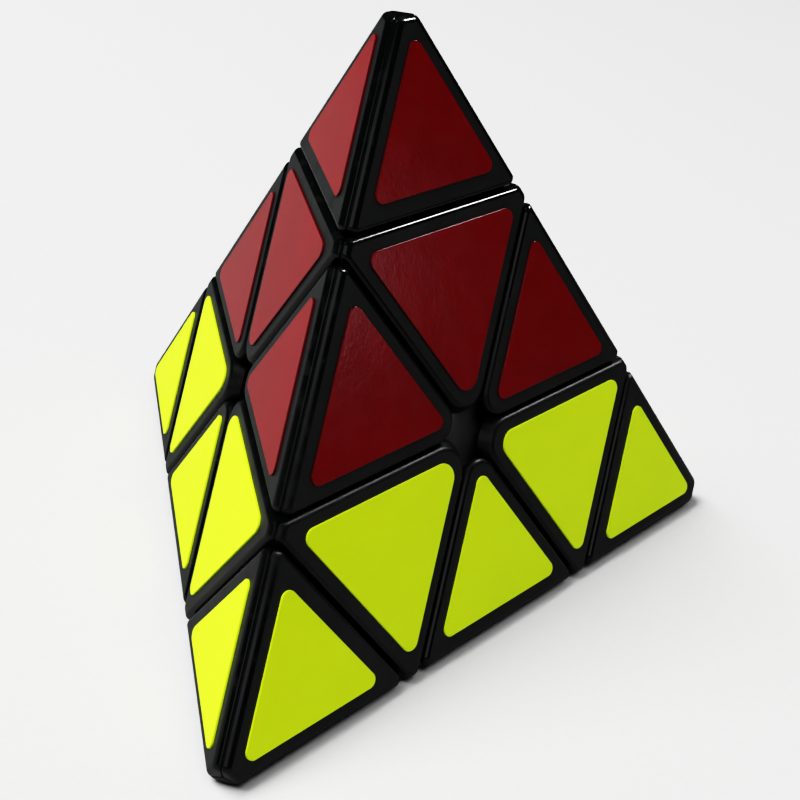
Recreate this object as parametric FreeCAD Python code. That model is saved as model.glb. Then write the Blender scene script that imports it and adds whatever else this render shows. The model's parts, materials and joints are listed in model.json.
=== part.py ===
import FreeCAD, Part

# A pyramid twisty puzzle: a regular tetrahedron in three layers, with four small tips, four
# axial pieces, six edge pieces and a sprung ball core. Millimetres. The origin is the centre
# of the core, and +Z runs up through the top corner.

import math
import os

Vector = FreeCAD.Vector

# The pyramid: everything outside follows from its ridge length between sharp corners.
RIDGE_LENGTH = 98.0
HEIGHT = RIDGE_LENGTH * math.sqrt(2 / 3)
FACE_HEIGHT = RIDGE_LENGTH * math.sqrt(3) / 2
FACE_DISTANCE = HEIGHT / 4
CORNER_DISTANCE = 3 * HEIGHT / 4
RIDGE_DISTANCE = RIDGE_LENGTH / math.sqrt(8)

# The cuts, as distances from the centre along a corner's axis. They cut a ridge into thirds;
# the tip's cut stands a little outside its third.
TIP_CUT_SHIFT = 0.2
LAYER_CUT = HEIGHT / 12
TIP_CUT = 5 * HEIGHT / 12 + TIP_CUT_SHIFT
CUT_GAP = 0.3

# The outer skin of the moulded shells.
WALL = 1.8
RIDGE_ROUNDING = 1.65
TIP_FLAT_DEPTH = 5.0
TIP_FLAT_ROUNDING = 1.0
RIM_ROUNDING = 0.75
AXIAL_CORNER_ROUNDING = 3.8
EDGE_CORNER_ROUNDING = 3.1
SEAM_ROUNDING = 0.25
SEAM_ROUNDED_DEPTH = 0.45
GLUE_GAP = 0.04

# The stickers: insets from the ideal thirds of a face, and corner radii.
STICKER_THICKNESS = 0.25
STICKER_LIFT = 0.01
STICKER_EDGE_ROUNDING = 0.1
TIP_STICKER_RIDGE_INSET = 3.35
TIP_STICKER_CUT_INSET = 3.15
AXIAL_STICKER_TOP_INSET = 1.75
AXIAL_STICKER_SIDE_INSET = 1.87
EDGE_STICKER_RIDGE_INSET = 3.6
EDGE_STICKER_CUT_INSET = 2.48
STICKER_CORNER_RADIUS = 1.1
AXIAL_STICKER_CORNER_RADIUS = 1.3
AXIAL_STICKER_CENTRE_RADIUS = 2.0

# The core: a ball shell in two halves around a four-armed spider.
BALL_RADIUS = 16.8
BALL_WALL = 2.2
RUNNING_GAP = 0.2
FOOT_THICKNESS = 1.4
FOOT_INNER = BALL_RADIUS + RUNNING_GAP
FOOT_OUTER = FOOT_INNER + FOOT_THICKNESS
UNDERSIDE_RADIUS = FOOT_OUTER + RUNNING_GAP
FOOT_CUT = 4.5
FOOT_FACE_DISTANCE = 14.6
SOCKET_RADIUS = 8.3
DISH_THICKNESS = 1.4

# The axle stack along each arm: arm, socket floor, spring, washer and screw.
ARM_RADIUS = 4.0
ARM_END = 19.7
BEARING_GAP = 0.06
STACK_GAP = 0.06
SOCKET_FLOOR_START = ARM_END + STACK_GAP
SOCKET_FLOOR_END = 21.5
WELL_RADIUS = 4.6
COLUMN_RADIUS = 6.2
COLUMN_END = 28.9
SHANK_RADIUS = 1.45
PILOT_RADIUS = 1.5
PILOT_START = 7.5
SCREW_START = 8.0
SHANK_CLEARANCE_RADIUS = 1.8
SPRING_START = SOCKET_FLOOR_END + STACK_GAP
SPRING_END = 26.0
SPRING_RADIUS = 2.9
SPRING_WIRE_RADIUS = 0.35
SPRING_TURNS = 5
WASHER_START = SPRING_END + STACK_GAP
WASHER_THICKNESS = 0.6
WASHER_RADIUS = 3.7
WASHER_HOLE_RADIUS = 1.6
HEAD_START = WASHER_START + WASHER_THICKNESS + STACK_GAP
HEAD_HEIGHT = 1.9
HEAD_RADIUS = 2.9
HEAD_ROUNDING = 0.7
RECESS_WIDTH = 0.8
RECESS_LENGTH = 3.2
RECESS_DEPTH = 1.2

# The tip's stem: it is glued in the tip and snaps through the axial's top wall.
TIP_STEM_RADIUS = 4.0
TIP_STEM_START = 29.3
TIP_LIP_RADIUS = 4.7
TIP_LIP_THICKNESS = 1.1
TIP_FLANGE_RADIUS = 5.3
TIP_FLANGE_THICKNESS = 1.4
TIP_STEM_BORE_RADIUS = 2.3
SLOT_WIDTH = 0.8

# A block larger than the puzzle, how far a cut runs past what it cuts, and the distance at
# which points and planes count as touching.
LARGE = 120.0
OVERRUN = 1.0
TOUCHING = 1e-5


def corner_axis(azimuth):
    """The unit vector from the centre to a lower corner of a regular tetrahedron."""
    flat = math.sqrt(8) / 3
    turn = math.radians(azimuth)
    return Vector(flat * math.cos(turn), flat * math.sin(turn), -1 / 3)


AXES = {
    "top": Vector(0, 0, 1),
    "front": corner_axis(-90),
    "right": corner_axis(30),
    "left": corner_axis(150),
}
# Each outer face is named for the side it looks to, and lies opposite one corner.
FACE_OPPOSITE = {"top": "base", "front": "rear", "right": "left", "left": "right"}
EDGE_PIECES = {
    "upper_front_edge": ("top", "front"),
    "upper_right_edge": ("top", "right"),
    "upper_left_edge": ("top", "left"),
    "lower_right_edge": ("front", "right"),
    "lower_left_edge": ("front", "left"),
    "lower_rear_edge": ("right", "left"),
}


def others(*corners):
    """The corners that aren't named."""
    return [name for name in AXES if name not in corners]


# ---- planes and solids bounded by planes; a plane is (outward normal, distance) ----

def face_plane(corner):
    """The pyramid's outer face opposite a corner."""
    return -AXES[corner], FACE_DISTANCE


def ridge_plane(one, other):
    """The plane that touches the rounded ridge between two corners."""
    middle = AXES[one] + AXES[other]
    return middle / middle.Length, RIDGE_DISTANCE - (math.sqrt(3) - 1) * RIDGE_ROUNDING


def below(corner, distance):
    """The side of a cut across a corner's axis that holds the centre."""
    return AXES[corner], distance


def above(corner, distance):
    """The side of a cut across a corner's axis that holds the corner."""
    return -AXES[corner], -distance


def inset(planes, depth):
    """The same planes, moved inwards."""
    return [(normal, distance - depth) for normal, distance in planes]


def meeting_point(one, two, three):
    """Where three planes meet, or None if they don't meet in one point."""
    (a, da), (b, db), (c, dc) = one, two, three
    volume = a.dot(b.cross(c))
    if abs(volume) < TOUCHING:
        return None
    return (b.cross(c) * da + c.cross(a) * db + a.cross(b) * dc) / volume


def is_on(point, plane):
    """Whether a point lies on a plane."""
    return abs(plane[0].dot(point) - plane[1]) < TOUCHING


def convex_solid(planes):
    """The solid that lies inside every one of the planes."""
    points = []
    for i, one in enumerate(planes):
        for j in range(i + 1, len(planes)):
            for k in range(j + 1, len(planes)):
                point = meeting_point(one, planes[j], planes[k])
                if point is None or any(n.dot(point) > d + TOUCHING for n, d in planes):
                    continue
                if all(point.distanceToPoint(p) > TOUCHING for p in points):
                    points.append(point)
    faces = []
    for plane in planes:
        ring = [p for p in points if is_on(p, plane)]
        if len(ring) > 2:
            faces.append(convex_face(ring, plane[0]))
    return Part.Solid(Part.makeShell(faces))


def convex_face(ring, normal):
    """A flat face through points that lie on a convex outline, in any order."""
    middle = sum(ring, Vector()) / len(ring)
    first = ring[0] - middle
    side = normal.cross(first)

    def turn(point):
        return math.atan2((point - middle).dot(side), (point - middle).dot(first))

    ring.sort(key=turn)
    return Part.Face(Part.makePolygon(ring + ring[:1]))


def half_space(plane):
    """A large block that fills the inner side of a plane."""
    normal, distance = plane
    block = Part.makeBox(2 * LARGE, 2 * LARGE, LARGE, Vector(-LARGE, -LARGE, -LARGE))
    turn = FreeCAD.Rotation(Vector(0, 0, 1), normal)
    block.Placement = FreeCAD.Placement(normal * distance, turn)
    return block


def trimmed(solid, planes):
    """What is left of a solid inside every one of the planes."""
    for plane in planes:
        solid = solid.common(half_space(plane))
    return solid


def rod(axis, start, end, radius):
    """A cylinder along an axis through the centre."""
    return Part.makeCylinder(radius, end - start, axis * start, axis)


def only_solid(shape):
    """The single solid that a boolean operation should leave."""
    solids = shape.Solids
    assert len(solids) == 1, f"{len(solids)} solids in place of one"
    return solids[0]


# ---- rounding ----

def rounded(solid, radius, edges):
    """A solid with some of its edges rounded."""
    return only_solid(solid.makeFillet(radius, edges))


def edges_on(solid, plane):
    """The edges whose ends lie on a plane."""
    return [edge for edge in solid.Edges if all(is_on(v.Point, plane) for v in edge.Vertexes)]


def edges_among(solid, planes):
    """The straight edges that any two of the planes share."""
    pairs = [(one, other) for i, one in enumerate(planes) for other in planes[i + 1:]]
    return [
        edge
        for one, other in pairs
        for edge in edges_on(solid, one)
        if all(is_on(v.Point, other) for v in edge.Vertexes)
    ]


def rim_edges(solid, cuts, corner_rounding):
    """The edges where the outer skin meets the cut planes or the rounding between them."""

    def is_cut(face):
        if any(all(is_on(v.Point, plane) for v in face.Vertexes) for plane in cuts):
            return True
        surface = face.Surface
        return isinstance(surface, Part.Cylinder) and math.isclose(surface.Radius, corner_rounding)

    found = []
    for edge in solid.Edges:
        sides = [is_cut(face) for face in solid.ancestorsOfType(edge, Part.Face)]
        if any(sides) and not all(sides):
            found.append(edge)
    return found


def round_seam(solid, seams, skin):
    """Round the outer edge of a shell where it meets its neighbour across a seam."""

    def depth(point):
        return min(distance - normal.dot(point) for normal, distance in skin)

    edges = []
    for edge in solid.Edges:
        middle = edge.valueAt((edge.FirstParameter + edge.LastParameter) / 2)
        ends = [v.Point for v in edge.Vertexes]
        in_seam = any(all(is_on(p, seam) for p in ends + [middle]) for seam in seams)
        if in_seam and depth(middle) < SEAM_ROUNDED_DEPTH:
            edges.append(edge)
    return rounded(solid, SEAM_ROUNDING, edges)


# ---- outer shells of the three kinds of piece ----

def rounded_pyramid():
    """The whole pyramid with its ridges rounded, before the cuts."""
    faces = [face_plane(name) for name in AXES]
    pyramid = convex_solid(faces)
    return rounded(pyramid, RIDGE_ROUNDING, edges_among(pyramid, faces))


def seam_plane(one, other, side):
    """The plane through the centre and a ridge, as the edge of the shell towards one side."""
    normal = AXES[one].cross(AXES[other])
    normal = normal / normal.Length
    if normal.dot(side) > 0:
        normal = -normal
    return normal, -GLUE_GAP / 2


def sectors(solid, corner, skin):
    """A tip or axial as its three shells, one to each outer face."""
    shells = []
    for opposite in others(corner):
        side = -AXES[opposite]
        ridge_ends = others(corner, opposite)
        seams = [seam_plane(corner, ridge_end, side) for ridge_end in ridge_ends]
        ridges = [ridge_plane(corner, ridge_end) for ridge_end in ridge_ends]
        shell = only_solid(trimmed(solid, seams))
        shells.append(round_seam(shell, seams, skin + ridges))
    return shells


def tip_shells(corner):
    """The three glued shells of a tip."""
    faces = [face_plane(name) for name in others(corner)]
    flat = below(corner, CORNER_DISTANCE - TIP_FLAT_DEPTH)
    cut = above(corner, TIP_CUT + CUT_GAP / 2)
    body = trimmed(rounded_pyramid(), [cut])
    body = rounded(body, RIM_ROUNDING, rim_edges(body, [cut], 0))
    body = trimmed(body, [flat])
    body = rounded(body, TIP_FLAT_ROUNDING, rim_edges(body, [flat], 0))
    hollow = convex_solid(inset(faces + [flat, cut], WALL))
    stem_hole = rod(AXES[corner], TIP_CUT, TIP_CUT + 2 * WALL, TIP_STEM_RADIUS + GLUE_GAP)
    shells = sectors(body, corner, faces + [flat])
    return [only_solid(shell.cut([hollow, stem_hole])) for shell in shells]


def axial_planes(corner):
    """The outer faces and cuts that bound an axial piece."""
    faces = [face_plane(name) for name in others(corner)]
    top_cut = below(corner, TIP_CUT - CUT_GAP / 2)
    side_cuts = [below(name, LAYER_CUT - CUT_GAP / 2) for name in others(corner)]
    return faces, top_cut, side_cuts


def axial_shells(corner):
    """The three glued shells of an axial piece."""
    faces, top_cut, side_cuts = axial_planes(corner)
    body = trimmed(rounded_pyramid(), [top_cut] + side_cuts)
    body = rounded(body, AXIAL_CORNER_ROUNDING, edges_among(body, side_cuts))
    body = rounded(body, RIM_ROUNDING, rim_edges(body, [top_cut], 0))
    body = rounded(body, RIM_ROUNDING, rim_edges(body, side_cuts, AXIAL_CORNER_ROUNDING))
    body = trimmed(body, [above(corner, LAYER_CUT + CUT_GAP / 2)])
    hollow = convex_solid(inset(faces + [top_cut] + side_cuts, WALL))
    ball = Part.makeSphere(UNDERSIDE_RADIUS)
    hole_radius = TIP_STEM_RADIUS + BEARING_GAP
    stem_hole = rod(AXES[corner], TIP_CUT - 2 * WALL, TIP_CUT, hole_radius)
    shells = sectors(body, corner, faces)
    return [only_solid(shell.cut([hollow, ball, stem_hole])) for shell in shells]


def edge_planes(one, other):
    """The outer faces and cuts that bound an edge piece."""
    faces = [face_plane(name) for name in others(one, other)]
    cuts = [above(name, LAYER_CUT + CUT_GAP / 2) for name in (one, other)]
    return faces, cuts


def edge_halves(one, other):
    """The two glued half shells of an edge piece, by the name of the outer face."""
    faces, cuts = edge_planes(one, other)
    body = trimmed(rounded_pyramid(), cuts)
    body = rounded(body, EDGE_CORNER_ROUNDING, edges_among(body, cuts))
    body = rounded(body, RIM_ROUNDING, rim_edges(body, cuts, EDGE_CORNER_ROUNDING))
    hollow = convex_solid(inset(faces + cuts, WALL))
    ball = Part.makeSphere(UNDERSIDE_RADIUS)
    skin = faces + [ridge_plane(one, other)]
    halves = {}
    for opposite in others(one, other):
        seam = seam_plane(one, other, -AXES[opposite])
        half = round_seam(only_solid(trimmed(body, [seam])), [seam], skin)
        halves[FACE_OPPOSITE[opposite]] = only_solid(half.cut([hollow, ball]))
    return halves


# ---- inner parts ----

def ball_half(is_upper):
    """One half of the core's ball shell, with holes for the arms."""
    shell = Part.makeSphere(BALL_RADIUS).cut(Part.makeSphere(BALL_RADIUS - BALL_WALL))
    side = -1 if is_upper else 1
    half = trimmed(shell, [(Vector(0, 0, side), -GLUE_GAP / 2)])
    hole_radius = ARM_RADIUS + GLUE_GAP / 2
    holes = [rod(axis, 0, BALL_RADIUS + OVERRUN, hole_radius) for axis in AXES.values()]
    return only_solid(half.cut(holes))


def core_spider():
    """Four arms joined at the centre, each with a pilot hole for its screw."""
    arms = [rod(axis, 0, ARM_END, ARM_RADIUS) for axis in AXES.values()]
    pilots = [rod(axis, PILOT_START, ARM_END + OVERRUN, PILOT_RADIUS) for axis in AXES.values()]
    return only_solid(arms[0].fuse(arms[1:]).cut(pilots).removeSplitter())


def screw(axis):
    """A pan-head screw with a cross recess, along an arm."""
    shank = rod(Vector(0, 0, 1), SCREW_START, HEAD_START, SHANK_RADIUS)
    head_end = HEAD_START + HEAD_HEIGHT
    head = rod(Vector(0, 0, 1), HEAD_START, head_end, HEAD_RADIUS)
    head = rounded(head, HEAD_ROUNDING, edges_on(head, (Vector(0, 0, 1), head_end)))
    for length, width in ((RECESS_LENGTH, RECESS_WIDTH), (RECESS_WIDTH, RECESS_LENGTH)):
        low = Vector(-length / 2, -width / 2, head_end - RECESS_DEPTH)
        head = head.cut(Part.makeBox(length, width, RECESS_DEPTH + OVERRUN, low))
    return turned_to(only_solid(shank.fuse(head)), axis)


def washer(axis):
    """The flat washer between a spring and its screw's head."""
    disc = rod(axis, WASHER_START, WASHER_START + WASHER_THICKNESS, WASHER_RADIUS)
    return disc.cut(rod(axis, SCREW_START, HEAD_START, WASHER_HOLE_RADIUS))


def spring(axis):
    """The coil spring around a screw's shank."""
    rise = SPRING_END - SPRING_START - 2 * SPRING_WIRE_RADIUS
    helix = Part.makeHelix(rise / SPRING_TURNS, rise, SPRING_RADIUS)
    wire = Part.Circle(Vector(SPRING_RADIUS, 0, 0), Vector(0, 1, 0), SPRING_WIRE_RADIUS)
    profile = Part.Wire(wire.toShape())
    coil = Part.Wire(helix.Edges).makePipeShell([profile], True, True)
    coil.translate(Vector(0, 0, SPRING_START + SPRING_WIRE_RADIUS))
    return turned_to(coil, axis)


def turned_to(shape, axis):
    """A shape made along +Z, turned about the centre to lie along another axis."""
    turned = shape.copy()
    turned.Placement = FreeCAD.Placement(Vector(), FreeCAD.Rotation(Vector(0, 0, 1), axis))
    turned.Placement = turned.Placement.multiply(shape.Placement)
    return turned


def axial_base(corner):
    """The dish, bearing socket and spring well that carry an axial's shells."""
    axis = AXES[corner]
    faces, top_cut, side_cuts = axial_planes(corner)
    inside = faces + [top_cut] + side_cuts + [above(corner, LAYER_CUT - WALL)]
    dish = convex_solid(inset(inside, WALL + GLUE_GAP))
    dish = dish.common(Part.makeSphere(UNDERSIDE_RADIUS + DISH_THICKNESS))
    dish = dish.cut(Part.makeSphere(UNDERSIDE_RADIUS))
    socket = rod(axis, 0, UNDERSIDE_RADIUS, SOCKET_RADIUS)
    column = rod(axis, UNDERSIDE_RADIUS - OVERRUN, COLUMN_END, COLUMN_RADIUS)
    body = dish.fuse([socket, column])
    return only_solid(body.cut([
        Part.makeSphere(FOOT_INNER),
        rod(axis, 0, SOCKET_FLOOR_START, ARM_RADIUS + BEARING_GAP),
        rod(axis, 0, COLUMN_END, SHANK_CLEARANCE_RADIUS),
        rod(axis, SOCKET_FLOOR_END, COLUMN_END + OVERRUN, WELL_RADIUS),
    ]))


def edge_foot(one, other):
    """The foot that hooks under two axials, with a plug that fills the neck of the shells."""
    sides = [above(name, FOOT_CUT + CUT_GAP / 2) for name in (one, other)]
    for name in others(one, other):
        sides.append(below(name, FOOT_CUT - CUT_GAP / 2))
        sides.append((-AXES[name], FOOT_FACE_DISTANCE))
    wedge = convex_solid(sides)
    foot = wedge.common(Part.makeSphere(FOOT_OUTER)).cut(Part.makeSphere(FOOT_INNER))
    faces, cuts = edge_planes(one, other)
    plug = convex_solid(inset(faces + cuts, WALL + GLUE_GAP))
    plug = plug.common(Part.makeSphere(UNDERSIDE_RADIUS + DISH_THICKNESS))
    plug = plug.cut(Part.makeSphere((FOOT_INNER + FOOT_OUTER) / 2))
    return only_solid(foot.fuse(plug))


def tip_stem(corner):
    """The tip's pivot: a flange glued in the tip and a slotted stem that snaps into the axial."""
    axis = AXES[corner]
    floor_top = TIP_CUT + CUT_GAP / 2 + WALL + GLUE_GAP
    wall_under = TIP_CUT - CUT_GAP / 2 - WALL
    lip_end = wall_under - RUNNING_GAP
    body = rod(axis, TIP_STEM_START, floor_top + TIP_FLANGE_THICKNESS, TIP_STEM_RADIUS)
    flange = rod(axis, floor_top, floor_top + TIP_FLANGE_THICKNESS, TIP_FLANGE_RADIUS)
    lip = rod(axis, lip_end - TIP_LIP_THICKNESS, lip_end, TIP_LIP_RADIUS)
    bore = rod(axis, TIP_STEM_START, wall_under, TIP_STEM_BORE_RADIUS)
    slots = []
    slot_start = TIP_STEM_START - OVERRUN
    for length, width in ((LARGE, SLOT_WIDTH), (SLOT_WIDTH, LARGE)):
        low = Vector(-length / 2, -width / 2, slot_start)
        slots.append(turned_to(Part.makeBox(length, width, wall_under - slot_start, low), axis))
    return only_solid(body.fuse([flange, lip]).cut([bore] + slots))


# ---- stickers ----

def face_point(shares):
    """The point on a face with the given share of each of the face's corners."""
    return sum((AXES[name] * CORNER_DISTANCE * share for name, share in shares.items()), Vector())


def sticker(limits, radii):
    """A rounded triangle between three lines, each one corner's share held at its limit."""
    names = list(limits)
    points = []
    for name in names:
        shares = {n: limits[n] for n in names if n != name}
        shares[name] = 1 - sum(shares.values())
        points.append(face_point(shares))
    outline = []
    for i, point in enumerate(points):
        radius = radii[names[i]]
        to_last = (points[i - 1] - point).normalize()
        to_next = (points[(i + 1) % 3] - point).normalize()
        inwards = (to_last + to_next).normalize()
        arc_start = point + to_last * radius * math.sqrt(3)
        arc_end = point + to_next * radius * math.sqrt(3)
        outline.append((arc_start, point + inwards * radius, arc_end))
    edges = []
    for i, (arc_start, middle, arc_end) in enumerate(outline):
        edges.append(Part.Arc(arc_start, middle, arc_end).toShape())
        edges.append(Part.makeLine(arc_end, outline[(i + 1) % 3][0]))
    (opposite,) = others(*names)
    outwards = -AXES[opposite]
    film = Part.Face(Part.Wire(edges)).extrude(outwards * STICKER_THICKNESS)
    outer_side = (outwards, FACE_DISTANCE + STICKER_THICKNESS)
    film = rounded(film, STICKER_EDGE_ROUNDING, edges_on(film, outer_side))
    film.translate(outwards * STICKER_LIFT)
    return film


def share(distance):
    """A distance on a face as a share of the face's height."""
    return distance / FACE_HEIGHT


def tip_stickers(corner):
    """A tip's three stickers."""
    films = []
    for opposite in others(corner):
        names = others(corner, opposite)
        limits = {name: share(TIP_STICKER_RIDGE_INSET) for name in names}
        limits[corner] = 2 / 3 + share(TIP_STICKER_CUT_INSET)
        films.append(sticker(limits, dict.fromkeys(limits, STICKER_CORNER_RADIUS)))
    return films


def axial_stickers(corner):
    """An axial's three stickers, rounder where they meet the middle of the face."""
    films = []
    for opposite in others(corner):
        names = others(corner, opposite)
        limits = {name: 1 / 3 - share(AXIAL_STICKER_SIDE_INSET) for name in names}
        limits[corner] = 2 / 3 - share(AXIAL_STICKER_TOP_INSET)
        radii = dict.fromkeys(names, AXIAL_STICKER_CORNER_RADIUS)
        radii[corner] = AXIAL_STICKER_CENTRE_RADIUS
        films.append(sticker(limits, radii))
    return films


def edge_stickers(one, other):
    """An edge piece's two stickers."""
    films = []
    for third in others(one, other):
        limits = {name: 1 / 3 + share(EDGE_STICKER_CUT_INSET) for name in (one, other)}
        limits[third] = share(EDGE_STICKER_RIDGE_INSET)
        films.append(sticker(limits, dict.fromkeys(limits, STICKER_CORNER_RADIUS)))
    return films


# ---- the whole puzzle, one node at a time ----

def nodes():
    """Every node's name and its list of solids."""
    yield "core_spider", [core_spider()]
    yield "core_ball_upper", [ball_half(True)]
    yield "core_ball_lower", [ball_half(False)]
    yield "axle_screws", [screw(axis) for axis in AXES.values()]
    yield "top_washer", [washer(AXES["top"])]
    yield "lower_washers", [washer(AXES[name]) for name in others("top")]
    for corner, axis in AXES.items():
        yield f"{corner}_spring", [spring(axis)]
        yield f"{corner}_axial_base", [axial_base(corner)]
        yield f"{corner}_axial_shells", axial_shells(corner)
        yield f"{corner}_axial_stickers", axial_stickers(corner)
        yield f"{corner}_tip_stem", [tip_stem(corner)]
        yield f"{corner}_tip_shells", tip_shells(corner)
        yield f"{corner}_tip_stickers", tip_stickers(corner)
    for name, (one, other) in EDGE_PIECES.items():
        yield f"{name}_foot", [edge_foot(one, other)]
        for face, half in edge_halves(one, other).items():
            yield f"{name}_{face}_half", [half]
        yield f"{name}_stickers", edge_stickers(one, other)


def main():
    """Write one STEP file per node."""
    os.makedirs("parts", exist_ok=True)
    for name, solids in nodes():
        shape = solids[0] if len(solids) == 1 else Part.makeCompound(solids)
        shape.exportStep(f"parts/{name}.step")


main()
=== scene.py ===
"""The looks of a pyramid twisty puzzle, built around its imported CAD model."""

import json
import math

import bmesh
import bpy
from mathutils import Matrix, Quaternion, Vector

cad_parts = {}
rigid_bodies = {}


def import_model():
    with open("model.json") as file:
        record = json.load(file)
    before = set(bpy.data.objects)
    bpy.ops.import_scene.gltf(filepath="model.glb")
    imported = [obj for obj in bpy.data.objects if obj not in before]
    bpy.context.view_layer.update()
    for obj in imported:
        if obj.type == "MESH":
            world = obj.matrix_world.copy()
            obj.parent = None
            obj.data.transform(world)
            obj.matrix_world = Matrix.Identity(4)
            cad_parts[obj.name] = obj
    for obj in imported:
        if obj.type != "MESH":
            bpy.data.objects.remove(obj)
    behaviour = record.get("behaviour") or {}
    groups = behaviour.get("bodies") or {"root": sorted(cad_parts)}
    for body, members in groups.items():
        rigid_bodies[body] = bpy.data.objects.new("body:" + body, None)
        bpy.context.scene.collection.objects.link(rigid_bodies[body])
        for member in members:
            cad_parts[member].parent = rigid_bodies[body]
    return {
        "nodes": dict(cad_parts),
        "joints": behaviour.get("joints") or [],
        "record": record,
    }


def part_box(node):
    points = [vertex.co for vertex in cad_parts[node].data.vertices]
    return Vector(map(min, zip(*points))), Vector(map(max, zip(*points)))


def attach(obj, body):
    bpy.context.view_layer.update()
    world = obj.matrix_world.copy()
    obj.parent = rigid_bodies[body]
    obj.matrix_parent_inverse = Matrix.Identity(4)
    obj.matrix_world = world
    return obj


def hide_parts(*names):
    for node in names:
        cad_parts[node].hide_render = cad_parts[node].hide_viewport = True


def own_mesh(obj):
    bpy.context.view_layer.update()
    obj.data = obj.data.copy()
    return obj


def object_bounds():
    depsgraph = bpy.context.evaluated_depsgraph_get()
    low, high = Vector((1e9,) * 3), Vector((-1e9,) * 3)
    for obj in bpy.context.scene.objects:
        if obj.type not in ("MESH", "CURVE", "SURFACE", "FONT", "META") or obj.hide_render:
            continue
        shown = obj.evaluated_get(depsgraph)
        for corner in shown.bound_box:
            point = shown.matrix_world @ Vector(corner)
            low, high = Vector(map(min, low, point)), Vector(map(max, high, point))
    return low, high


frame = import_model()
cad_low, cad_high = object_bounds()

MM = 0.001

# The axis from the centre to each corner comes from the joint that floats that corner's axial.
AXES = {
    joint["child"].removesuffix("_axial"): Vector(joint["axis"])
    for joint in frame["joints"]
    if joint["name"].endswith("_axial_float")
}

# The camera stands in front and above, turned a little about its own line of sight.
CAMERA_AZIMUTH = 14.14
CAMERA_ELEVATION = 31.8
CAMERA_ROLL = 4.77
CAMERA_DISTANCE = 174.0 * MM
CAMERA_TARGET = Vector((3.36, 1.98, 1.77)) * MM
CAMERA_LENS = 56.15
SENSOR_WIDTH = 36.0

# The floor, with the distances over which it fades into the surroundings, in metres.
FLOOR_SIZE = 6.0
FLOOR_CELLS = 8
FLOOR_FADE = (0.35, 1.3)

# The surroundings' strength as fill light and as the camera sees them.
WORLD_FILL = 0.02
WORLD_SEEN = 0.80
WORLD_COLOUR = (0.97, 0.98, 1.0)

# Each lamp's azimuth and elevation in degrees, width and height in metres, and power in watts.
LAMP_DISTANCE = 2.0
SOFT_LAMPS = {
    "left_key": (-75, 62, 1.1, 1.1, 76.0),
    "right_fill": (50, 68, 1.1, 1.1, 15.0),
}
GLINT_CARDS = {
    "back_glint": (150, 47, 0.28, 0.28, 16.0),
    "front_glint": (8, 34, 1.7, 1.3, 4.6),
    "right_glint": (93, 7, 0.16, 0.16, 0.60),
    "left_sheen": (-75, 72, 1.0, 0.7, 2.5),
}

# The camera's tone curve: scene light against the light shown, both linear.
TONE_WHITE = 1.3
TONE_POINTS = ((0.03, 0.018), (0.09, 0.085), (0.27, 0.34), (0.5, 0.62), (0.86, 0.85))

# How well a surface lines up with the nearest outer face: fully flat above, fully off it below.
ON_FACE = 0.999
OFF_FACE = 0.97

# Black edges are dullest round the puzzle's middle, where it is held. Each row has two heights
# and the roughness at each.
DULLING_UP = (-6 * MM, 5 * MM, 0.15, 0.42)
SHINING_UP = (8 * MM, 30 * MM, 0.42, 0.13)
FLAT_ROUGHNESS = 0.40
WORN_EXTRA_ROUGHNESS = 0.08
SMEAR_EXTRA_ROUGHNESS = 0.015

# How strongly a surface mirrors, as the specular level of its shader.
BLACK_FLAT_GLOSS = 0.30
BLACK_EDGE_GLOSS = 0.5
RED_GLOSS = 0.5
YELLOW_GLOSS = 0.3
PAPER_GLOSS = 0.1
PLASTIC_IOR = 1.5

# The colours of the black plastic and of the paper, linear. In the puzzle's reflections the paper shows a
# painted reflection colour instead.
FLAT_DARK = (0.0100, 0.0108, 0.0110)
FLAT_PALE = (0.0135, 0.0143, 0.0145)
# Painted shade: edges, roundings and the flanks between parts get a darker black than the flats.
EDGE_SHADE_BLACK = (0.0010, 0.0013, 0.0013)
WORN_GREY = (0.008, 0.0085, 0.009)
DUST_GREY = (0.30, 0.30, 0.29)
PAPER_DARK = (0.47, 0.47, 0.47)
PAPER_PALE = (0.51, 0.51, 0.51)
# Painted reflection: the paper's colour in the puzzle's reflections, paler to the left and near black to
# the right.
PAINTED_REFLECTION_LEFT = (0.16, 0.16, 0.16)
PAINTED_REFLECTION_RIGHT = (0.01, 0.01, 0.01)


def direction(azimuth, elevation):
    """The unit vector towards a place round the object; azimuth 0 is in front, 90 to the right."""
    azimuth = math.radians(azimuth)
    elevation = math.radians(elevation)
    level = math.cos(elevation)
    return Vector((math.sin(azimuth) * level, -math.cos(azimuth) * level, math.sin(elevation)))


# ---- materials ----

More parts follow.
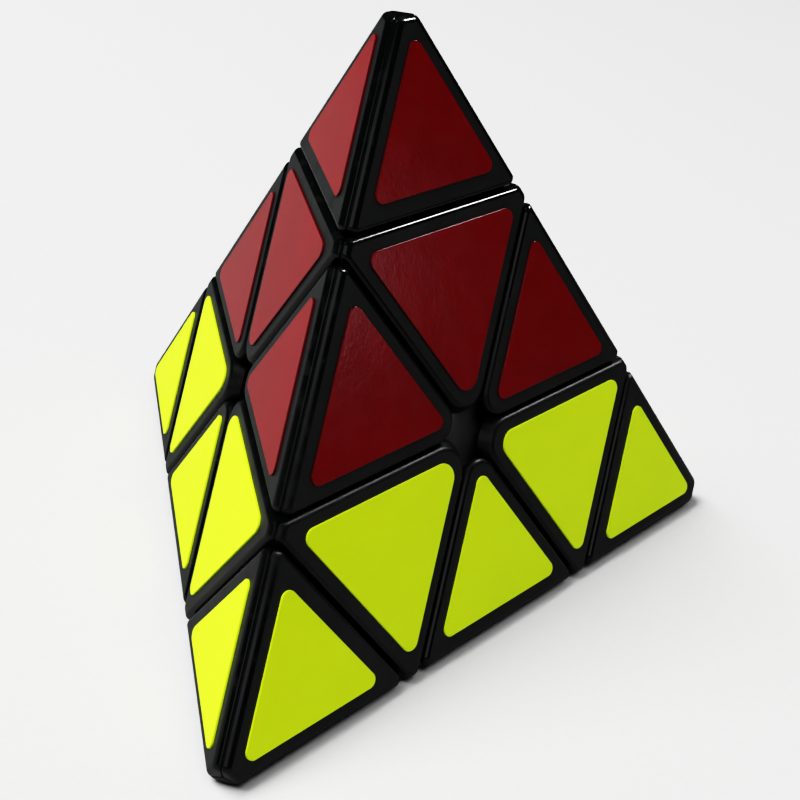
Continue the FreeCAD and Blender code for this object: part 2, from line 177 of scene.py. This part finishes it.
class Shader:
    """A material's node tree, with short calls that add nodes and return their outputs."""

    def __init__(self, name):
        self.material = bpy.data.materials.new(name)
        self.material.use_nodes = True
        self.tree = self.material.node_tree
        self.tree.nodes.clear()
        self.place = self.add("ShaderNodeTexCoord").outputs["Object"]

    def add(self, kind, inputs=None, **settings):
        """A new node with its settings and inputs; an input is a value or another node's output."""
        node = self.tree.nodes.new(kind)
        for key, value in settings.items():
            setattr(node, key, value)
        for key, value in (inputs or {}).items():
            if isinstance(value, bpy.types.NodeSocket):
                self.tree.links.new(value, node.inputs[key])
            else:
                node.inputs[key].default_value = value
        return node

    def along(self, axis):
        """The place along one axis of the puzzle's frame."""
        return self.add("ShaderNodeSeparateXYZ", {"Vector": self.place}).outputs[axis]

    def noise(self, size, detail=2.0, roughness=0.5, stretch=(1, 1, 1), shift=0.0):
        """Noise with features of about the given size in metres."""
        inputs = {"Vector": self.place, "Scale": stretch, "Location": (shift, shift, shift)}
        mapping = self.add("ShaderNodeMapping", inputs)
        inputs = {
            "Vector": mapping.outputs[0], "Scale": 1 / size, "Detail": detail, "Roughness": roughness,
        }
        return self.add("ShaderNodeTexNoise", inputs).outputs["Fac"]

    def fit(self, value, start, end, low, high):
        """A value's stretch from start to end, mapped smoothly to low and high."""
        inputs = {"Value": value, "From Min": start, "From Max": end, "To Min": low, "To Max": high}
        node = self.add("ShaderNodeMapRange", inputs, interpolation_type="SMOOTHSTEP")
        return node.outputs["Result"]

    def math(self, operation, one, two=0.0):
        """One arithmetic step."""
        return self.add("ShaderNodeMath", {0: one, 1: two}, operation=operation).outputs[0]

    def mix(self, share, one, two):
        """A colour between two colours."""
        node = self.add("ShaderNodeMix", {"Factor": share}, data_type="RGBA")
        colours = [socket for socket in node.inputs if socket.type == "RGBA"]
        for socket, value in zip(colours, (one, two)):
            if isinstance(value, bpy.types.NodeSocket):
                self.tree.links.new(value, socket)
            else:
                socket.default_value = (*value, 1)
        (result,) = [socket for socket in node.outputs if socket.type == "RGBA"]
        return result

    def specks(self, spacing, radius, share):
        """Sparse round specks: 1 inside a speck and 0 elsewhere."""
        inputs = {"Vector": self.place, "Scale": 1 / spacing}
        cells = self.add("ShaderNodeTexVoronoi", inputs)
        near = self.fit(cells.outputs["Distance"], radius / spacing, 0.6 * radius / spacing, 0, 1)
        chosen = self.add("ShaderNodeSeparateColor", {"Color": cells.outputs["Color"]}).outputs[0]
        return self.math("MULTIPLY", near, self.math("LESS_THAN", chosen, share))

    def off_flat(self):
        """0 on the puzzle's four outer faces and 1 on every edge, flank and rounding."""
        normal = self.add("ShaderNodeTexCoord").outputs["Normal"]
        best = -1.0
        for axis in AXES.values():
            inputs = {0: normal, 1: tuple(-axis)}
            along = self.add("ShaderNodeVectorMath", inputs, operation="DOT_PRODUCT").outputs["Value"]
            best = self.math("MAXIMUM", along, best)
        return self.fit(best, ON_FACE, OFF_FACE, 0, 1)

    def bump(self, height, depth, under=None):
        """Relief of the given depth in metres, over any relief that's already there."""
        inputs = {"Height": height, "Distance": depth}
        if under is not None:
            inputs["Normal"] = under
        return self.add("ShaderNodeBump", inputs).outputs["Normal"]

    def finish(self, inputs):
        """Join a principled surface to the material's output."""
        surface = self.add("ShaderNodeBsdfPrincipled", inputs).outputs[0]
        self.add("ShaderNodeOutputMaterial", {"Surface": surface})
        return self.material


def shell_plastic():
    """Black moulded ABS: satin flats with a fine grain, glossy edges darkened by painted shade with worn
    spots, and dust.
    """
    look = Shader("black_moulded_abs")
    cloud = look.fit(look.noise(9 * MM, detail=4), 0.35, 0.65, 0, 1)
    smudge = look.fit(look.noise(5 * MM, detail=5, roughness=0.6, shift=0.3), 0.5, 0.72, 0, 1)
    off_flat = look.off_flat()
    spots = look.fit(look.noise(2.2 * MM, detail=6, shift=0.5), 0.52, 0.66, 0, 1)
    worn = look.math("MULTIPLY", off_flat, spots)
    large_dust = look.specks(4.1 * MM, 0.07 * MM, 0.20)
    small_dust = look.specks(1.7 * MM, 0.03 * MM, 0.16)
    dust = look.math("MAXIMUM", large_dust, small_dust)
    colour = look.mix(cloud, FLAT_DARK, FLAT_PALE)
    # Edges, roundings and flanks between parts take the darker black: painted shade.
    colour = look.mix(off_flat, colour, EDGE_SHADE_BLACK)
    colour = look.mix(look.math("MULTIPLY", worn, 0.5), colour, WORN_GREY)
    colour = look.mix(look.math("MULTIPLY", dust, 0.5), colour, DUST_GREY)
    height = look.along("Z")
    edge_roughness = look.math("MINIMUM", look.fit(height, *DULLING_UP), look.fit(height, *SHINING_UP))
    roughness = look.fit(off_flat, 0, 1, FLAT_ROUGHNESS, edge_roughness)
    roughness = look.math("ADD", roughness, look.math("MULTIPLY", smudge, WORN_EXTRA_ROUGHNESS))
    roughness = look.math("ADD", roughness, look.math("MULTIPLY", worn, WORN_EXTRA_ROUGHNESS))
    relief = look.bump(look.noise(0.16 * MM, detail=2), 0.0012 * MM)
    relief = look.bump(look.noise(3 * MM, detail=1, shift=0.8), 0.003 * MM, relief)
    relief = look.bump(dust, 0.004 * MM, relief)
    return look.finish({
        "Base Color": colour,
        "Roughness": roughness,
        "Specular IOR Level": look.fit(off_flat, 0, 1, BLACK_FLAT_GLOSS, BLACK_EDGE_GLOSS),
        "Normal": relief,
    })


def inner_plastic():
    """Plain black plastic with a faint flow pattern, for the parts inside."""
    look = Shader("black_inner_plastic")
    flow = look.noise(4 * MM, detail=5, roughness=0.6, stretch=(1, 1, 3))
    colour = look.mix(flow, (0.010, 0.010, 0.011), (0.022, 0.022, 0.024))
    grain = look.noise(0.22 * MM, detail=3)
    return look.finish({
        "Base Color": colour,
        "Roughness": look.fit(grain, 0.3, 0.7, 0.38, 0.52),
        "IOR": PLASTIC_IOR,
        "Normal": look.bump(grain, 0.003 * MM),
    })


def core_plastic():
    """The ball's smooth dark grey plastic, painted lighter as painted light in the shaded hole, polished
    and smeared by the feet that ride on it.
    """
    look = Shader("dark_core_plastic")
    smear = look.noise(6 * MM, detail=2, roughness=0.5)
    # A grey lighter than the shell's black: painted light, so the ball shows in the shaded hole.
    colour = look.mix(smear, (0.042, 0.044, 0.042), (0.060, 0.062, 0.060))
    return look.finish({
        "Base Color": colour,
        "Roughness": look.fit(smear, 0.3, 0.7, 0.28, 0.38),
        "IOR": PLASTIC_IOR,
        "Normal": look.bump(look.noise(0.5 * MM), 0.002 * MM),
    })


def film(name, colour, deep_colour, edge_shade_colour, gloss, gloss_colour, roughness):
    """A glossy vinyl sticker: orange-peel surface, a cut edge darkened by painted shade, specks and faint
    smears.
    """
    look = Shader(name)
    cloud = look.fit(look.noise(7 * MM, detail=3), 0.3, 0.7, 0, 1)
    off_flat = look.off_flat()
    specks = look.specks(4.6 * MM, 0.05 * MM, 0.14)
    smear = look.fit(look.noise(2.5 * MM, detail=4, shift=0.6), 0.35, 0.65, 0, 1)
    body = look.mix(cloud, colour, deep_colour)
    # The sticker's cut edge takes a darker colour: painted shade.
    body = look.mix(off_flat, body, edge_shade_colour)
    speck_colour = [0.25 * part for part in deep_colour]
    body = look.mix(look.math("MULTIPLY", specks, 0.6), body, speck_colour)
    peel = look.bump(look.noise(0.9 * MM, detail=1.5), 0.011 * MM)
    fine_peel = look.noise(0.3 * MM, detail=1.5, stretch=(1, 1, 0.5), shift=0.4)
    peel = look.bump(fine_peel, 0.011 * MM, peel)
    peel = look.bump(specks, 0.003 * MM, peel)
    smoothest = roughness - SMEAR_EXTRA_ROUGHNESS
    roughest = roughness + SMEAR_EXTRA_ROUGHNESS
    return look.finish({
        "Base Color": body,
        "Roughness": look.fit(smear, 0, 1, smoothest, roughest),
        "IOR": PLASTIC_IOR,
        "Normal": peel,
        "Specular IOR Level": gloss,
        "Specular Tint": (*gloss_colour, 1),
    })


def red_film():
    """Deep red vinyl with a pale pink sheen."""
    red = (0.175, 0.0006, 0.0013)
    deep = (0.155, 0.0005, 0.0011)
    # The cut edge is darker than the film: painted shade.
    edge = (0.06, 0.0008, 0.0008)
    gloss_colour = (1, 0.78, 0.92)
    return film("red_vinyl_film", red, deep, edge, RED_GLOSS, gloss_colour, roughness=0.19)


def yellow_film():
    """Bright lemon-yellow vinyl, duller than the red, with a yellow sheen."""
    yellow = (0.63, 0.865, 0.006)
    deep = (0.615, 0.845, 0.006)
    # The cut edge is darker than the film: painted shade.
    edge = (0.50, 0.68, 0.01)
    gloss_colour = (0.9, 1, 0.12)
    return film("yellow_vinyl_film", yellow, deep, edge, YELLOW_GLOSS, gloss_colour, roughness=0.40)


def spring_steel():
    """Bright drawn wire with fine lines along the turns."""
    look = Shader("drawn_spring_wire")
    lines = look.noise(0.3 * MM, detail=4, stretch=(1, 1, 8))
    return look.finish({
        "Base Color": look.mix(lines, (0.46, 0.46, 0.48), (0.62, 0.62, 0.64)),
        "Metallic": 1.0,
        "Roughness": look.fit(lines, 0.3, 0.7, 0.22, 0.36),
        "Normal": look.bump(lines, 0.002 * MM),
    })


def screw_steel():
    """Zinc-plated steel with a faint blue and straw tint."""
    look = Shader("zinc_plated_steel")
    tint = look.fit(look.noise(2.2 * MM, detail=3), 0.35, 0.65, 0, 1)
    grain = look.noise(0.25 * MM, detail=3, shift=0.2)
    return look.finish({
        "Base Color": look.mix(tint, (0.50, 0.54, 0.60), (0.64, 0.61, 0.52)),
        "Metallic": 1.0,
        "Roughness": look.fit(grain, 0.3, 0.7, 0.24, 0.38),
        "Normal": look.bump(grain, 0.003 * MM),
    })


def floor_paint():
    """Pale matt paper with a faint tooth and a painted reflection colour, paler to the left, that fades
    into the surroundings.
    """
    look = Shader("pale_paper")
    tooth = look.noise(1.2 * MM, detail=4, roughness=0.6)
    seen = look.mix(tooth, PAPER_DARK, PAPER_PALE)
    # Glossy rays see a painted reflection colour, paler to the left and near black to the right.
    to_the_right = look.fit(look.along("X"), -100 * MM, 300 * MM, 0, 1)
    painted_reflection = look.mix(to_the_right, PAINTED_REFLECTION_LEFT, PAINTED_REFLECTION_RIGHT)
    rays = look.add("ShaderNodeLightPath").outputs
    colour = look.mix(rays["Is Glossy Ray"], seen, painted_reflection)
    distance = look.add("ShaderNodeVectorMath", {0: look.place}, operation="LENGTH").outputs["Value"]
    faded = look.math("MULTIPLY", rays["Is Camera Ray"], look.fit(distance, *FLOOR_FADE, 0, 1))
    return look.finish({
        "Base Color": look.mix(faded, colour, (0, 0, 0)),
        "Emission Color": (*WORLD_COLOUR, 1),
        "Emission Strength": look.math("MULTIPLY", faded, WORLD_SEEN),
        "Roughness": 0.9,
        "Specular IOR Level": PAPER_GLOSS,
        "Normal": look.bump(tooth, 0.02 * MM),
    })


def dress_cad_nodes(materials):
    """Give every CAD node the material of its slot."""
    for part in frame["record"]["subparts"]:
        for slot in frame["nodes"][part["node"]].material_slots:
            slot.material = materials[part["material_slot"]]


# ---- coil springs in place of the CAD springs ----

SPRING_TURNS = 6.5
WIRE_RADIUS = 0.35 * MM
# Each closed end coil's turns, and its rise as a multiple of the wire's radius.
END_TURNS = 0.75
END_RISE = 2.1
WIRE_SIDES = 12
STEPS_PER_TURN = 32


def spring_height(turn, length):
    """How far up the spring its wire's middle is after some turns; the end coils are closed."""
    closed = WIRE_RADIUS * END_RISE
    stations = (
        (0, 0),
        (END_TURNS, closed),
        (SPRING_TURNS - END_TURNS, length - closed),
        (SPRING_TURNS, length),
    )
    for (start, low), (end, high) in zip(stations, stations[1:]):
        if turn <= end:
            return low + (high - low) * (turn - start) / (end - start)
    return length


def spring_mesh(name, start, end, radius):
    """A round-wire coil between two distances along +Z, with closed ends."""
    steps = round(SPRING_TURNS * STEPS_PER_TURN)
    length = end - start - 2 * WIRE_RADIUS
    mesh = bmesh.new()
    rings = []
    for step in range(steps + 1):
        turn = step / STEPS_PER_TURN
        out = Vector((math.cos(2 * math.pi * turn), math.sin(2 * math.pi * turn), 0))
        height = start + WIRE_RADIUS + spring_height(turn, length)
        middle = out * radius + Vector((0, 0, height))
        ring = []
        for side in range(WIRE_SIDES):
            angle = 2 * math.pi * side / WIRE_SIDES
            offset = out * math.cos(angle) + Vector((0, 0, math.sin(angle)))
            ring.append(mesh.verts.new(middle + offset * WIRE_RADIUS))
        rings.append(ring)
    for low, high in zip(rings, rings[1:]):
        for side in range(WIRE_SIDES):
            after = (side + 1) % WIRE_SIDES
            mesh.faces.new((low[side], low[after], high[after], high[side]))
    mesh.faces.new(rings[0][::-1])
    mesh.faces.new(rings[-1])
    bmesh.ops.recalc_face_normals(mesh, faces=mesh.faces)
    data = bpy.data.meshes.new(name)
    mesh.to_mesh(data)
    mesh.free()
    data.polygons.foreach_set("use_smooth", [True] * len(data.polygons))
    return data


def add_springs(material):
    """A coil in place of each CAD spring, attached to the parent body of its axial piece's float joint.
    """
    low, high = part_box("top_spring")
    radius = (high.x - low.x) / 2 - WIRE_RADIUS
    for corner, axis in AXES.items():
        (joint,) = [j for j in frame["joints"] if j["name"] == f"{corner}_axial_float"]
        coil = bpy.data.objects.new(f"{corner}_coil", spring_mesh(corner, low.z, high.z, radius))
        bpy.context.collection.objects.link(coil)
        coil.data.transform(Vector((0, 0, 1)).rotation_difference(axis).to_matrix().to_4x4())
        coil.data.materials.append(material)
        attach(coil, joint["parent"])
        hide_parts(f"{corner}_spring")
        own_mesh(coil)


# ---- stage ----

def add_floor():
    """A large pale sheet under the puzzle."""
    mesh = bmesh.new()
    bmesh.ops.create_grid(mesh, x_segments=FLOOR_CELLS, y_segments=FLOOR_CELLS, size=FLOOR_SIZE / 2)
    data = bpy.data.meshes.new("floor")
    mesh.to_mesh(data)
    mesh.free()
    floor = bpy.data.objects.new("floor", data)
    floor.location.z = cad_low.z
    bpy.context.collection.objects.link(floor)
    data.materials.append(floor_paint())


def add_softbox(name, azimuth, elevation, width, height, power):
    """A soft rectangular lamp that looks at the puzzle's centre."""
    lamp = bpy.data.lights.new(name, "AREA")
    lamp.shape = "RECTANGLE"
    lamp.size = width
    lamp.size_y = height
    lamp.energy = power
    holder = bpy.data.objects.new(name, lamp)
    bpy.context.collection.objects.link(holder)
    towards = direction(azimuth, elevation)
    holder.location = towards * LAMP_DISTANCE
    holder.rotation_mode = "QUATERNION"
    holder.rotation_quaternion = towards.to_track_quat("Z", "Y")
    return holder


def add_lights():
    """Soft studio light, brighter from the left, and a few cards that only show as glints."""
    for name, setting in SOFT_LAMPS.items():
        add_softbox(name, *setting).visible_glossy = False
    for name, setting in GLINT_CARDS.items():
        add_softbox(name, *setting).visible_diffuse = False


def add_world():
    """Surroundings that look pale to the camera and stay dim in reflections and as fill light."""
    world = bpy.data.worlds.new("surroundings")
    world.use_nodes = True
    nodes = world.node_tree.nodes
    links = world.node_tree.links
    background = nodes["Background"]
    background.inputs["Color"].default_value = (*WORLD_COLOUR, 1)
    ray = nodes.new("ShaderNodeLightPath")
    strength = nodes.new("ShaderNodeMapRange")
    strength.inputs["To Min"].default_value = WORLD_FILL
    strength.inputs["To Max"].default_value = WORLD_SEEN
    links.new(ray.outputs["Is Camera Ray"], strength.inputs["Value"])
    links.new(strength.outputs["Result"], background.inputs["Strength"])
    bpy.context.scene.world = world


def set_tone_curve():
    """A camera's tone curve: deep shadows, lifted middle tones and a soft shoulder."""
    view = bpy.context.scene.view_settings
    view.view_transform = "Standard"
    view.use_curve_mapping = True
    mapping = view.curve_mapping
    mapping.white_level = [TONE_WHITE] * 3
    mapping.extend = "HORIZONTAL"
    curve = mapping.curves[3]
    for light, shown in TONE_POINTS:
        curve.points.new(light / TONE_WHITE, shown)
    mapping.update()


def add_camera():
    """The camera, aimed near the puzzle's centre."""
    data = bpy.data.cameras.new("camera")
    data.lens = CAMERA_LENS
    data.sensor_width = SENSOR_WIDTH
    data.clip_start = 0.01
    camera = bpy.data.objects.new("camera", data)
    bpy.context.collection.objects.link(camera)
    back = direction(CAMERA_AZIMUTH, CAMERA_ELEVATION)
    camera.location = CAMERA_TARGET + back * CAMERA_DISTANCE
    roll = Quaternion((0, 0, 1), math.radians(CAMERA_ROLL))
    camera.rotation_mode = "QUATERNION"
    camera.rotation_quaternion = (-back).to_track_quat("-Z", "Y") @ roll
    bpy.context.scene.camera = camera


def main():
    """Dress the CAD, add what it lacks, then set the stage."""
    materials = {
        "shell_plastic": shell_plastic(),
        "inner_plastic": inner_plastic(),
        "core_plastic": core_plastic(),
        "red_film": red_film(),
        "yellow_film": yellow_film(),
        "spring_steel": spring_steel(),
        "screw_steel": screw_steel(),
    }
    dress_cad_nodes(materials)
    add_springs(materials["spring_steel"])
    add_floor()
    add_lights()
    add_world()
    add_camera()
    set_tone_curve()


main()
